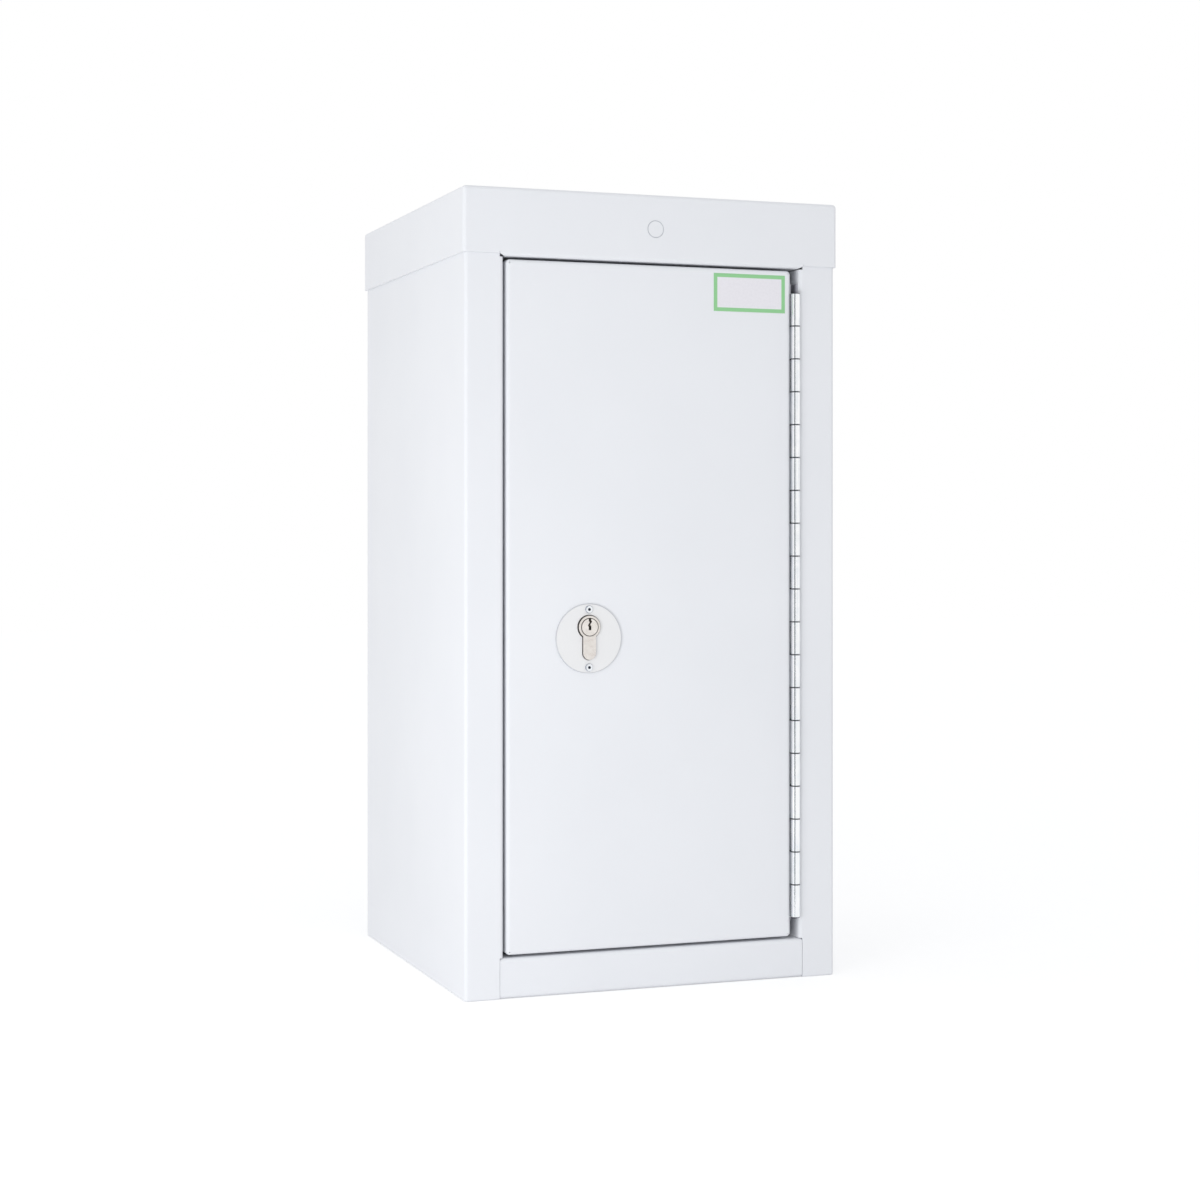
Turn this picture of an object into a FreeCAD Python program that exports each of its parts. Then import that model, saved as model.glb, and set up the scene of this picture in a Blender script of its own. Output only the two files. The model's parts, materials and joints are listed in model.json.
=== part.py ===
"""Lockable steel wall cabinet: folded carcass, one inset door on a knuckle hinge, and a bolt lock.

Every piece is drawn in the drawing frame: x runs to the right from the middle, y runs back from the
front face of the carcass, and z runs up from its bottom edge. Lengths are millimetres.
"""
import FreeCAD, Part
import math
import os
import Sketcher

# Driving sizes, each set by itself.
SIZES = {
    # carcass
    "cabinet_width": 300.0,
    "cabinet_height": 600.0,
    "cabinet_depth": 292.0,
    "sheet_thickness": 1.5,
    "bend_radius": 3.0,
    "sheet_fit": 0.1,
    "seam_gap": 0.3,
    "stile_width": 30.0,
    "stop_width": 12.0,
    "stop_clearance": 0.5,
    "stop_end_gap": 0.5,
    "rail_height": 30.0,
    "rail_setback": 0.4,
    "pan_flange": 15.0,
    "cap_height": 49.0,
    "lip_drop": 2.0,
    "lip_cheek": 3.6,
    "relief_width": 0.4,
    "relief_rise": 0.2,
    "foot_round": 1.2,
    "ceiling_setback": 6.0,
    # wall fixings
    "fixing_spacing_x": 200.0,
    "fixing_spacing_z": 400.0,
    "fixing_hole": 10.5,
    # blanking plug in the cap
    "plug_hole": 13.2,
    "plug_rise": 23.0,
    "blank_gap": 0.15,
    "blank_rim": 17.0,
    "blank_rim_thickness": 1.2,
    # shelves
    "shelf_setback": 48.0,
    "shelf_back_gap": 6.0,
    "shelf_side_gap": 0.8,
    "shelf_flange": 18.0,
    "shelf_lower_height": 190.0,
    "shelf_upper_height": 370.0,
    "ledge_leg": 15.0,
    "ledge_end_gap": 8.0,
    # door
    "door_depth": 28.0,
    "door_left_gap": 2.4,
    "door_top_gap": 2.0,
    "door_bottom_gap": 2.0,
    "liner_fit": 0.1,
    "corner_relief": 0.9,
    "corner_inset": 2.4,
    # hinge
    "knuckle_diameter": 7.0,
    "knuckle_gap": 0.4,
    "notch_gap": 0.5,
    "pin_diameter": 4.0,
    "pin_fit": 0.05,
    "pin_proud": 1.0,
    "leaf_reach": 26.0,
    "hinge_foot_gap": 17.0,
    "hinge_head_gap": 19.4,
    "leaf_head": 7.6,
    "leaf_tail": 2.4,
    # lock plate and cylinder
    "lock_offset": 64.0,
    "lock_height": 274.0,
    "escutcheon_diameter": 52.0,
    "escutcheon_drop": 8.5,
    "escutcheon_thickness": 1.5,
    "escutcheon_edge": 0.5,
    "cylinder_gap": 0.4,
    "cylinder_head": 17.0,
    "cylinder_web": 10.0,
    "cylinder_reach": 24.5,
    "cylinder_proud": 3.5,
    "cylinder_length": 35.0,
    "cam_slot_start": 20.0,
    "cam_slot_width": 10.0,
    "cam_slot_radius": 15.6,
    "plug_diameter": 13.2,
    "plug_fit": 0.05,
    "plug_proud": 0.3,
    "plug_pivot": 8.0,
    "cylinder_edge": 0.3,
    "keyway_height": 9.4,
    "keyway_rise": 2.5,
    "keyway_width": 1.9,
    "keyway_depth": 18.0,
    "rivet_spacing": 43.4,
    "rivet_head": 5.8,
    "rivet_head_height": 1.1,
    "rivet_shank": 3.2,
    "rivet_fit": 0.05,
    "rivet_tail": 5.0,
    "rivet_tail_height": 1.6,
    "mandrel_hole": 1.9,
    "mandrel_depth": 0.7,
    "rivet_dome": 0.8,
    # cam
    "cam_ring": 15.6,
    "cam_side_gap": 0.2,
    "cam_nose_radius": 12.0,
    "cam_nose_width": 6.0,
    "cam_rest_angle": 35.0,
    # bolt bar and bolts
    "bar_thickness": 3.0,
    "bar_front": 18.0,
    "bar_width": 30.0,
    "bar_edge_gap": 0.8,
    "bar_end_gap": 57.5,
    "arm_height": 26.0,
    "arm_nose_gap": 1.8,
    "arm_end": 5.0,
    "nose_gap": 0.7,
    "nose_end_gap": 0.8,
    "bolt_diameter": 10.0,
    "bolt_hole_gap": 0.5,
    "bolt_pocket_gap": 0.75,
    "bolt_tip_gap": 1.1,
    "bolt_length": 26.0,
    "bolt_slot_fit": 0.05,
    "bolt_inset": 20.0,
    "bolt_nose": 1.5,
    "bar_corner": 1.0,
    # guides of the bolt bar
    "stud_shoulder": 10.0,
    "stud_neck": 6.0,
    "stud_neck_fit": 0.2,
    "stud_inset": 60.0,
    "stud_setback": 7.5,
    "stud_tip": 1.5,
    "clip_diameter": 12.0,
    "clip_thickness": 1.0,
    "clip_gap": 0.1,
    "clip_fit": 0.05,
    # cylinder bracket and screw
    "bracket_width": 18.0,
    "bracket_foot": 14.0,
    "bracket_gap": 0.2,
    "screw_drop": 20.0,
    "screw_shank": 5.0,
    "screw_fit": 0.05,
    "screw_head": 8.5,
    "screw_head_height": 2.5,
    # inside cover of the lock
    "cover_width": 70.0,
    "cover_height": 90.0,
    "cover_rise": 8.0,
    "cover_flange": 10.0,
    "cover_screw": 4.0,
    "cover_screw_head": 7.0,
    "cover_screw_head_height": 2.0,
    "cover_screw_tail": 4.0,
    "cover_screw_dome": 1.2,
    "recess_length": 4.0,
    "recess_width": 0.9,
    "recess_depth": 1.2,
    # label
    "label_width": 59.5,
    "label_height": 29.0,
    "label_thickness": 0.2,
    "label_right_gap": 5.25,
    "label_top_gap": 4.0,
    # how far a cutting profile runs past what it cuts
    "overrun": 1.0,
}

# Counts of what repeats.
KNUCKLES = 19
BOLTS = 3
STUDS = 4

# Zigzag of the keyway: shares of its width and height, from the top down.
KEYWAY_LEFT_SHARES = ((-0.5, 0.5), (-0.5, 0.22), (-0.1, 0.12), (-0.9, -0.12), (-0.5, -0.24), (-0.5, -0.5))
KEYWAY_RIGHT_SHARES = ((0.5, -0.5), (0.5, -0.18), (0.1, -0.06), (0.9, 0.18), (0.5, 0.28), (0.5, 0.5))

# Places worked out from the sizes, each a formula of the second sheet.
PLACES = {
    "half_width": "Sizes.cabinet_width / 2",
    "inner_half": "half_width - Sizes.sheet_thickness",
    "inner_radius": "Sizes.bend_radius - Sizes.sheet_thickness",
    "opening_half": "half_width - Sizes.stile_width",
    "stop_face": "Sizes.door_depth + Sizes.stop_clearance",
    "stop_half": "opening_half - Sizes.stop_width",
    "stop_end": "stop_half - Sizes.stop_end_gap",
    "stile_flat": "opening_half + Sizes.bend_radius",
    "rail_half": "stile_flat - Sizes.seam_gap",
    "pan_half": "inner_half - Sizes.sheet_fit",
    "pan_back": "Sizes.cabinet_depth - Sizes.sheet_thickness - Sizes.sheet_fit",
    "wrap_height": "Sizes.cabinet_height - Sizes.bend_radius - Sizes.sheet_fit",
    "cap_overhang": "Sizes.sheet_thickness + Sizes.sheet_fit",
    "cap_half": "half_width + cap_overhang",
    "cap_edge": "Sizes.cabinet_height - Sizes.cap_height",
    "lip_bottom": "cap_edge - Sizes.lip_drop",
    "lip_half": "opening_half - Sizes.stop_end_gap",
    "lip_reach": "lip_half + Sizes.lip_cheek",
    "lip_top": "lip_bottom + Sizes.sheet_thickness",
    "return_end": "stop_face - Sizes.sheet_thickness",
    "plug_height": "cap_edge + Sizes.plug_rise",
    "hinge_proud": "Sizes.knuckle_diameter / 2 + Sizes.pin_proud",
    "front_shift": "(hinge_proud - Sizes.cabinet_depth) / 2",
    "shelf_back": "pan_back - Sizes.shelf_back_gap",
    "shelf_half": "inner_half - Sizes.shelf_side_gap",
    "door_left": "-opening_half + Sizes.door_left_gap",
    "door_right": "opening_half - Sizes.knuckle_diameter",
    "door_bottom": "Sizes.rail_height + Sizes.door_bottom_gap",
    "door_top": "lip_bottom - Sizes.door_top_gap",
    "liner_front": "Sizes.door_depth - Sizes.sheet_thickness",
    "pin_x": "opening_half - Sizes.knuckle_diameter / 2",
    "pin_y": "-Sizes.pin_proud",
    "hinge_bottom": "Sizes.rail_height + Sizes.hinge_foot_gap",
    "hinge_top": "lip_bottom - Sizes.hinge_head_gap",
    "hinge_length": "hinge_top - hinge_bottom",
    "leaf_bottom": "hinge_bottom - Sizes.leaf_tail",
    "leaf_top": "hinge_top + Sizes.leaf_head",
    "knuckle_pitch": f"hinge_length / {KNUCKLES}",
    "lock_x": "door_left + Sizes.lock_offset",
    "cylinder_front": "-Sizes.cylinder_proud",
    "slot_front": "cylinder_front + Sizes.cam_slot_start",
    "slot_back": "slot_front + Sizes.cam_slot_width",
    "escutcheon_z": "Sizes.lock_height - Sizes.escutcheon_drop",
    "nose_shift": "Sizes.cam_nose_radius * sin(Sizes.cam_rest_angle * 1 deg)",
    "throw": "2 * nose_shift",
    "bar_left": "door_left + Sizes.sheet_thickness + Sizes.bar_edge_gap + throw",
    "bar_right": "bar_left + Sizes.bar_width",
    "bar_middle": "Sizes.bar_front + Sizes.bar_thickness / 2",
    "bar_back": "Sizes.bar_front + Sizes.bar_thickness",
    "bar_bottom": "door_bottom + Sizes.bar_end_gap",
    "bar_top": "door_top - Sizes.bar_end_gap",
    "bar_length": "bar_top - bar_bottom",
    "notch_x": "lock_x + nose_shift",
    "notch_half": "(Sizes.cam_nose_width + 2 * Sizes.nose_gap) / 2",
    "notch_top": "Sizes.lock_height + Sizes.cam_nose_radius + Sizes.cam_nose_width / 2 + Sizes.nose_end_gap",
    "arm_bottom": "Sizes.lock_height + Sizes.cylinder_head / 2 + Sizes.arm_nose_gap",
    "arm_right": "notch_x + notch_half + Sizes.arm_end",
    "bolt_tip": "door_left + Sizes.bolt_tip_gap",
    "bolt_bore": "Sizes.bolt_diameter + 2 * Sizes.bolt_hole_gap",
    "bolt_pocket": "Sizes.bolt_diameter + 2 * Sizes.bolt_pocket_gap",
    "stud_x": "bar_left + Sizes.stud_setback",
    "screw_z": "Sizes.lock_height - Sizes.screw_drop",
    "screw_y": "(slot_front + slot_back) / 2",
    "bracket_x": "lock_x - Sizes.cylinder_web / 2 - Sizes.bracket_gap",
    "cover_back": "Sizes.door_depth + Sizes.cover_rise",
}

doc = FreeCAD.newDocument("WallCabinet")


def fill_sheet(name, rows):
    """Write one sheet: a name in column A, its value or formula in column B under that alias."""
    sheet = doc.addObject("Spreadsheet::Sheet", name)
    for row, (alias, content) in enumerate(rows.items(), start=1):
        sheet.set(f"A{row}", alias)
        sheet.set(f"B{row}", str(content) if isinstance(content, float) else f"={content}")
        sheet.setAlias(f"B{row}", alias)
    doc.recompute()
    return sheet


sizes = fill_sheet("Sizes", SIZES)
fill_sheet("Places", PLACES)

QUARTER_TURN = 90

# Which way the normal of each drawing plane points along its axis.
PLANE_NORMALS = {"XY_Plane": 1, "XZ_Plane": -1, "YZ_Plane": 1}


def value(expression):
    """The number that an expression of the sheets gives now."""
    return float(sizes.evalExpression(expression))


def new_body(label):
    """An empty piece in the drawing frame, set back so that the origin is under the part's middle."""
    body = doc.addObject("PartDesign::Body", label)
    body.Label = label
    body.setExpression("Placement.Base.y", "Places.front_shift")
    return body


def new_sketch(body, role, at):
    """A sketch on one of the body's own planes, moved along that plane's axis to `at`."""
    sketch = body.newObject("Sketcher::SketchObject", f"{body.Name}_outline")
    plane = next(feature for feature in body.Origin.OriginFeatures if feature.Role == role)
    sketch.AttachmentSupport = [(plane, "")]
    sketch.MapMode = "FlatFace"
    sketch.setExpression("AttachmentOffset.Base.z", f"{PLANE_NORMALS[role]} * ({at})")
    return sketch


def hold_point(sketch, geometry, position, point):
    """Tie one point of a sketch to its place, given as two expressions."""
    for kind, expression in zip(("DistanceX", "DistanceY"), point):
        held = Sketcher.Constraint(kind, -1, 1, geometry, position, value(expression))
        sketch.setExpression(f"Constraints[{sketch.addConstraint(held)}]", expression)


def draw_polygon(sketch, points):
    """A closed outline of straight lines through points given as pairs of expressions."""
    first = sketch.GeometryCount
    count = len(points)
    corners = [FreeCAD.Vector(value(across), value(up)) for across, up in points]
    for index in range(count):
        sketch.addGeometry(Part.LineSegment(corners[index], corners[(index + 1) % count]))
    for index in range(count):
        following = first + (index + 1) % count
        sketch.addConstraint(Sketcher.Constraint("Coincident", first + index, 2, following, 1))
    for index, point in enumerate(points):
        hold_point(sketch, first + index, 1, point)


def draw_box(sketch, left, right, bottom, top):
    """A rectangle between four expressions."""
    draw_polygon(sketch, [(left, bottom), (right, bottom), (right, top), (left, top)])


def draw_circle(sketch, across, up, diameter):
    """A circle at a place and with a diameter given as expressions."""
    centre = FreeCAD.Vector(value(across), value(up))
    circle = sketch.addGeometry(Part.Circle(centre, FreeCAD.Vector(0, 0, 1), value(diameter) / 2))
    hold_point(sketch, circle, 3, (across, up))
    held = sketch.addConstraint(Sketcher.Constraint("Diameter", circle, value(diameter)))
    sketch.setExpression(f"Constraints[{held}]", diameter)


def extrude(kind, sketch, length, forward=True):
    """Pad or pocket a sketch by a length, forward or backward along the axis of its plane."""
    body = sketch.getParentGeoFeatureGroup()
    feature = body.newObject(f"PartDesign::{kind}", f"{body.Name}_{kind.lower()}")
    feature.Profile = sketch
    feature.setExpression("Length", length)
    along_axis = PLANE_NORMALS[sketch.AttachmentSupport[0][0].Role] == (1 if kind == "Pad" else -1)
    feature.Reversed = along_axis != forward
    doc.recompute()
    return feature


def pad(sketch, length, forward=True):
    return extrude("Pad", sketch, length, forward)


def pocket(sketch, length, forward=True):
    return extrude("Pocket", sketch, length, forward)


def edges_along(shape, axis, places):
    """Names of the straight edges parallel to an axis that pass through the given places."""
    spans = [span for span in range(3) if span != axis]
    wanted = [[value(expression) for expression in place] for place in places]
    near = value("Sizes.sheet_fit") / 2
    names = []
    for number, edge in enumerate(shape.Edges, start=1):
        ends = [vertex.Point for vertex in edge.Vertexes]
        if len(ends) != 2 or edge.Curve.TypeId != "Part::GeomLine":
            continue
        if any(abs(ends[0][span] - ends[1][span]) > near for span in spans):
            continue
        for place in wanted:
            if all(abs(ends[0][span] - at) < near for span, at in zip(spans, place)):
                names.append(f"Edge{number}")
                break
    return names


def dress_edges(kind, feature, names, size):
    """Fillet or chamfer the named edges of a feature."""
    if not names:
        raise RuntimeError(f"no edge to dress on {feature.Name}")
    body = feature.getParentGeoFeatureGroup()
    dressed = body.newObject(f"PartDesign::{kind}", f"{body.Name}_{kind.lower()}")
    dressed.Base = (feature, names)
    dressed.setExpression("Radius" if kind == "Fillet" else "Size", size)
    doc.recompute()
    return dressed


def round_edges(feature, radius, places_by_axis):
    """Fillet the straight edges that run along an axis (0, 1 or 2) at the places given for it."""
    names = []
    for axis, places in places_by_axis.items():
        names += edges_along(feature.Shape, axis, places)
    return dress_edges("Fillet", feature, names, radius)


def rim_edges(feature, axis, place):
    """Names of the edges that lie flat at one place along an axis."""
    near = value("Sizes.sheet_fit") / 2
    at = value(place)
    names = []
    for number, edge in enumerate(feature.Shape.Edges, start=1):
        lows = (edge.BoundBox.XMin, edge.BoundBox.YMin, edge.BoundBox.ZMin)
        highs = (edge.BoundBox.XMax, edge.BoundBox.YMax, edge.BoundBox.ZMax)
        if abs(lows[axis] - at) < near and abs(highs[axis] - at) < near:
            names.append(f"Edge{number}")
    return names


def round_rims(feature, axis, place, radius):
    return dress_edges("Fillet", feature, rim_edges(feature, axis, place), radius)


def chamfer_rims(feature, axis, place, size):
    return dress_edges("Chamfer", feature, rim_edges(feature, axis, place), size)


def fold(points):
    """The section of a folded sheet whose one face follows `points`, with the sheet on its left.

    Gives the closed outline, then the outer and the inner corner of every bend.
    """
    spots = [(value(across), value(up)) for across, up in points]
    steps = []
    for (x0, y0), (x1, y1) in zip(spots, spots[1:]):
        span = math.hypot(x1 - x0, y1 - y0)
        steps.append((round((x1 - x0) / span), round((y1 - y0) / span)))
    far_side, outer, inner = [], [], []
    for index, (across, up) in enumerate(points):
        before = steps[index - 1] if index > 0 else None
        after = steps[index] if index < len(steps) else None
        normals = {(-step[1], step[0]) for step in (before, after) if step}
        shift = [sum(parts) for parts in zip(*normals)]
        opposite = (f"{across} + {shift[0]} * Sizes.sheet_thickness",
                    f"{up} + {shift[1]} * Sizes.sheet_thickness")
        far_side.append(opposite)
        if before and after:
            turns_left = before[0] * after[1] - before[1] * after[0] > 0
            outer.append((across, up) if turns_left else opposite)
            inner.append(opposite if turns_left else (across, up))
    return points + far_side[::-1], outer, inner


def fold_sheet(body, role, at, length, points):
    """Add a folded sheet to a body: its section on a plane, drawn out forward, with rounded bends."""
    outline, outer, inner = fold(points)
    sketch = new_sketch(body, role, at)
    draw_polygon(sketch, outline)
    sheet = pad(sketch, length)
    axis = {"YZ_Plane": 0, "XZ_Plane": 1, "XY_Plane": 2}[role]
    sheet = round_edges(sheet, "Sizes.bend_radius", {axis: outer})
    return round_edges(sheet, "Places.inner_radius", {axis: inner})


def bolt_heights():
    """Heights of the locking bolts, spread evenly over the bolt bar."""
    step = f"(Places.bar_length - 2 * Sizes.bolt_inset) / {BOLTS - 1}"
    return [f"Places.bar_bottom + Sizes.bolt_inset + {index} * {step}" for index in range(BOLTS)]


def make_body_wrap():
    """Sides, back, stiles, returns and door stops, folded from one sheet."""
    body = new_body("body_wrap")
    depth = "Sizes.cabinet_depth"
    front, side = "0", "Places.half_width"
    right_half = [("Places.stop_half", "Places.stop_face"), ("Places.opening_half", "Places.stop_face"),
                  ("Places.opening_half", front), (side, front), (side, depth)]
    left_half = [(f"-{across}", up) for across, up in reversed(right_half)]
    fold_sheet(body, "XY_Plane", "0", "Places.wrap_height", right_half + left_half)

    # The returns stop short of the rail below and of the lip above.
    trims = new_sketch(body, "XZ_Plane", "-Sizes.overrun")
    for low, high in (("-Sizes.overrun", "Sizes.rail_height + Sizes.seam_gap"),
                      ("Places.lip_bottom - Sizes.stop_end_gap", "Places.wrap_height + Sizes.overrun")):
        draw_box(trims, "-Places.stile_flat", "Places.stile_flat", low, high)
    trimmed = pocket(trims, "Places.stop_face + Sizes.sheet_thickness + 2 * Sizes.overrun")
    round_edges(trimmed, "Sizes.foot_round", {0: [(front, "0"), (depth, "0")],
                                              1: [(f"-{side}", "0"), (side, "0")]})

    fixings = new_sketch(body, "XZ_Plane", "Places.pan_back")
    for column in (-1, 1):
        for row in (-1, 1):
            draw_circle(fixings, f"{column} * Sizes.fixing_spacing_x / 2",
                        f"Sizes.cabinet_height / 2 + {row} * Sizes.fixing_spacing_z / 2",
                        "Sizes.fixing_hole")
    pocket(fixings, "Sizes.sheet_thickness + Sizes.overrun")

    keepers = new_sketch(body, "YZ_Plane", "-Places.opening_half - Sizes.sheet_thickness - Sizes.overrun")
    for height in bolt_heights():
        draw_circle(keepers, "Places.bar_middle", height, "Places.bolt_pocket")
    pocket(keepers, "Sizes.sheet_thickness + 2 * Sizes.overrun")


def make_floor_pan():
    """Floor, front rail and lower door stop, with side flanges that stand against the sides."""
    body = new_body("floor_pan")
    rail = [("Places.stop_face", "Sizes.rail_height + Sizes.stop_width"),
            ("Places.stop_face", "Sizes.rail_height"), ("Sizes.rail_setback", "Sizes.rail_height"),
            ("Sizes.rail_setback", "0"), ("Places.pan_back", "0"), ("Places.pan_back", "Sizes.pan_flange")]
    fold_sheet(body, "YZ_Plane", "-Places.rail_half", "2 * Places.rail_half", rail)

    # The stop is narrower than the rail, to pass between the stops of the stiles.
    ends = new_sketch(body, "XZ_Plane", "Places.return_end")
    for side in ("-", ""):
        draw_box(ends, f"{side}Places.stop_end", f"{side}(Places.rail_half + Sizes.overrun)",
                 "Sizes.rail_height - Sizes.bend_radius",
                 "Sizes.rail_height + Sizes.stop_width + Sizes.overrun")
    pocket(ends, "2 * Sizes.sheet_thickness + Sizes.overrun")

    behind_stile = "Sizes.bend_radius + Sizes.seam_gap"
    wing_length = f"Places.pan_back - Places.inner_radius - ({behind_stile})"
    inset = "Places.rail_half - Sizes.overrun"
    right_wing = [(inset, "0"), ("Places.pan_half", "0"), ("Places.pan_half", "Sizes.pan_flange")]
    left_wing = [(f"-({across})", up) for across, up in reversed(right_wing)]
    for wing in (right_wing, left_wing):
        fold_sheet(body, "XZ_Plane", behind_stile, wing_length, wing)


def make_top_cap():
    """Top with front and side flanges, and a lip over the door that ends in the upper stop."""
    body = new_body("top_cap")
    outside = new_sketch(body, "XY_Plane", "Places.cap_edge")
    draw_box(outside, "-Places.cap_half", "Places.cap_half", "-Places.cap_overhang", "Sizes.cabinet_depth")
    block = pad(outside, "Sizes.cap_height")
    front, top = "-Places.cap_overhang", "Sizes.cabinet_height"
    sides = ("-Places.cap_half", "Places.cap_half")
    round_edges(block, "Sizes.bend_radius", {0: [(front, top)], 1: [(side, top) for side in sides],
                                             2: [(side, front) for side in sides]})
    inside = new_sketch(body, "XY_Plane", "Places.cap_edge - Sizes.overrun")
    inner_half = "(Places.half_width + Sizes.sheet_fit)"
    draw_box(inside, f"-{inner_half}", inner_half, "-Sizes.sheet_fit", "Sizes.cabinet_depth + Sizes.overrun")
    shell = pocket(inside, "Sizes.cap_height - Sizes.sheet_thickness + Sizes.overrun")
    ceiling = "Sizes.cabinet_height - Sizes.sheet_thickness"
    sides = (f"-{inner_half}", inner_half)
    round_edges(shell, "Places.inner_radius", {0: [("-Sizes.sheet_fit", ceiling)],
                                               1: [(side, ceiling) for side in sides],
                                               2: [(side, "-Sizes.sheet_fit") for side in sides]})

    # Relief slots let the lip bend free of the flange in front of the stiles.
    reliefs = new_sketch(body, "XZ_Plane", "-Places.cap_overhang - Sizes.overrun")
    for side in ("-", ""):
        draw_box(reliefs, f"{side}Places.lip_reach", f"{side}(Places.lip_reach + Sizes.relief_width)",
                 "Places.cap_edge - Sizes.overrun",
                 "Places.lip_bottom + Sizes.bend_radius + Sizes.relief_rise")
    pocket(reliefs, "Sizes.sheet_thickness + 2 * Sizes.overrun")

    lip = [("-Places.cap_overhang", "Places.cap_edge"), ("-Places.cap_overhang", "Places.lip_bottom"),
           ("Places.return_end", "Places.lip_bottom")]
    fold_sheet(body, "YZ_Plane", "-Places.lip_reach", "2 * Places.lip_reach", lip)

    # Only the front of the lip's bend runs on over the stiles, and its ends are cut on a slant.
    below = "Places.lip_bottom - Sizes.overrun"
    behind = new_sketch(body, "XY_Plane", below)
    slants = new_sketch(body, "XZ_Plane", "-Places.cap_overhang - Sizes.overrun")
    for side in ("-", ""):
        past_end = f"{side}(Places.lip_reach + Sizes.overrun)"
        draw_box(behind, f"{side}Places.lip_half", past_end, "-Sizes.sheet_fit",
                 "Places.return_end + Sizes.overrun")
        draw_polygon(slants, [(f"{side}Places.lip_half", below), (past_end, below),
                              (past_end, "Places.cap_edge"), (f"{side}Places.lip_reach", "Places.cap_edge"),
                              (f"{side}Places.lip_half", "Places.lip_bottom")])
    pocket(behind, "Sizes.lip_drop + Sizes.bend_radius + Sizes.overrun")
    pocket(slants, "Places.cap_overhang + Sizes.overrun")
    stop_fold = [("Places.return_end - Sizes.overrun", "Places.lip_bottom"),
                 ("Places.stop_face", "Places.lip_bottom"),
                 ("Places.stop_face", "Places.lip_bottom - Sizes.stop_width")]
    fold_sheet(body, "YZ_Plane", "-Places.stop_end", "2 * Places.stop_end", stop_fold)

    hole = new_sketch(body, "XZ_Plane", "-Places.cap_overhang - Sizes.overrun")
    draw_circle(hole, "0", "Places.plug_height", "Sizes.plug_hole")
    pocket(hole, "Sizes.sheet_thickness + 2 * Sizes.overrun")


def make_ceiling_panel():
    """Panel that closes the compartment under the cap: a channel that rests on the lip."""
    body = new_body("ceiling_panel")
    flange_top = "Places.lip_top + Sizes.pan_flange"
    channel = [("-Places.pan_half", flange_top), ("-Places.pan_half", "Places.lip_top"),
               ("Places.pan_half", "Places.lip_top"), ("Places.pan_half", flange_top)]
    length = "Places.pan_back - Places.inner_radius - Sizes.ceiling_setback"
    fold_sheet(body, "XZ_Plane", "Sizes.ceiling_setback", length, channel)


def make_blanking_plug():
    """Flush plug in the cap's front, held by a wider rim behind the sheet."""
    body = new_body("blanking_plug")
    disc = new_sketch(body, "XZ_Plane", "-Places.cap_overhang")
    draw_circle(disc, "0", "Places.plug_height", "Sizes.plug_hole - 2 * Sizes.blank_gap")
    pad(disc, "Sizes.sheet_thickness")
    rim = new_sketch(body, "XZ_Plane", "-Sizes.sheet_fit")
    draw_circle(rim, "0", "Places.plug_height", "Sizes.blank_rim")
    pad(rim, "Sizes.blank_rim_thickness")


def make_shelf(label, height):
    """Shelf tray with its front and back edges turned down."""
    body = new_body(label)
    below = f"{height} - Sizes.shelf_flange"
    tray = [("Places.shelf_back", below), ("Places.shelf_back", height), ("Sizes.shelf_setback", height),
            ("Sizes.shelf_setback", below)]
    fold_sheet(body, "YZ_Plane", "-Places.shelf_half", "2 * Places.shelf_half", tray)


def make_shelf_ledges(heights):
    """Angle ledges on the sides, one pair under each shelf."""
    body = new_body("shelf_ledges")
    start = "Sizes.shelf_setback + Sizes.ledge_end_gap"
    length = f"Places.shelf_back - Sizes.ledge_end_gap - ({start})"
    angles = new_sketch(body, "XZ_Plane", start)
    wall = "Places.inner_half"
    for height in heights:
        top = f"{height} - Sizes.sheet_thickness"
        below, foot = f"{top} - Sizes.sheet_thickness", f"{top} - Sizes.ledge_leg"
        inner_face, toe = f"{wall} - Sizes.sheet_thickness", f"{wall} - Sizes.ledge_leg"
        right = [(toe, below), (inner_face, below), (inner_face, foot),
                 (wall, foot), (wall, top), (toe, top)]
        for side in ("", "-"):
            draw_polygon(angles, [(f"{side}({across})", up) for across, up in right])
    pad(angles, length)


def draw_arc_outline(sketch, arcs):
    """An outline of two arcs joined by two straight lines that touch the second arc.

    Each arc is its centre, its radius and the angles where it starts and ends, in degrees.
    """
    first = sketch.GeometryCount
    ends = []
    for across, up, radius, start, finish in arcs:
        centre = FreeCAD.Vector(value(across), value(up))
        circle = Part.Circle(centre, FreeCAD.Vector(0, 0, 1), value(radius))
        arc = Part.ArcOfCircle(circle, math.radians(start), math.radians(finish))
        geometry = sketch.addGeometry(arc)
        hold_point(sketch, geometry, 3, (across, up))
        held = sketch.addConstraint(Sketcher.Constraint("Radius", geometry, value(radius)))
        sketch.setExpression(f"Constraints[{held}]", radius)
        ends.append((arc.StartPoint, arc.EndPoint))
    down = sketch.addGeometry(Part.LineSegment(ends[0][1], ends[1][0]))
    back = sketch.addGeometry(Part.LineSegment(ends[1][1], ends[0][0]))
    sketch.addConstraint(Sketcher.Constraint("Tangent", down, 2, first + 1, 1))
    sketch.addConstraint(Sketcher.Constraint("Tangent", first + 1, 2, back, 1))
    return first, down, back


def draw_slot(sketch, left, right, up, width):
    """A level slot with round ends, between the centres of its ends."""
    radius = f"{width} / 2"
    left_end = (left, up, radius, QUARTER_TURN, 3 * QUARTER_TURN)
    right_end = (right, up, radius, 3 * QUARTER_TURN, 5 * QUARTER_TURN)
    start, down, back = draw_arc_outline(sketch, [left_end, right_end])
    sketch.addConstraint(Sketcher.Constraint("Tangent", start, 2, down, 1))
    sketch.addConstraint(Sketcher.Constraint("Tangent", back, 2, start, 1))


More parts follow.
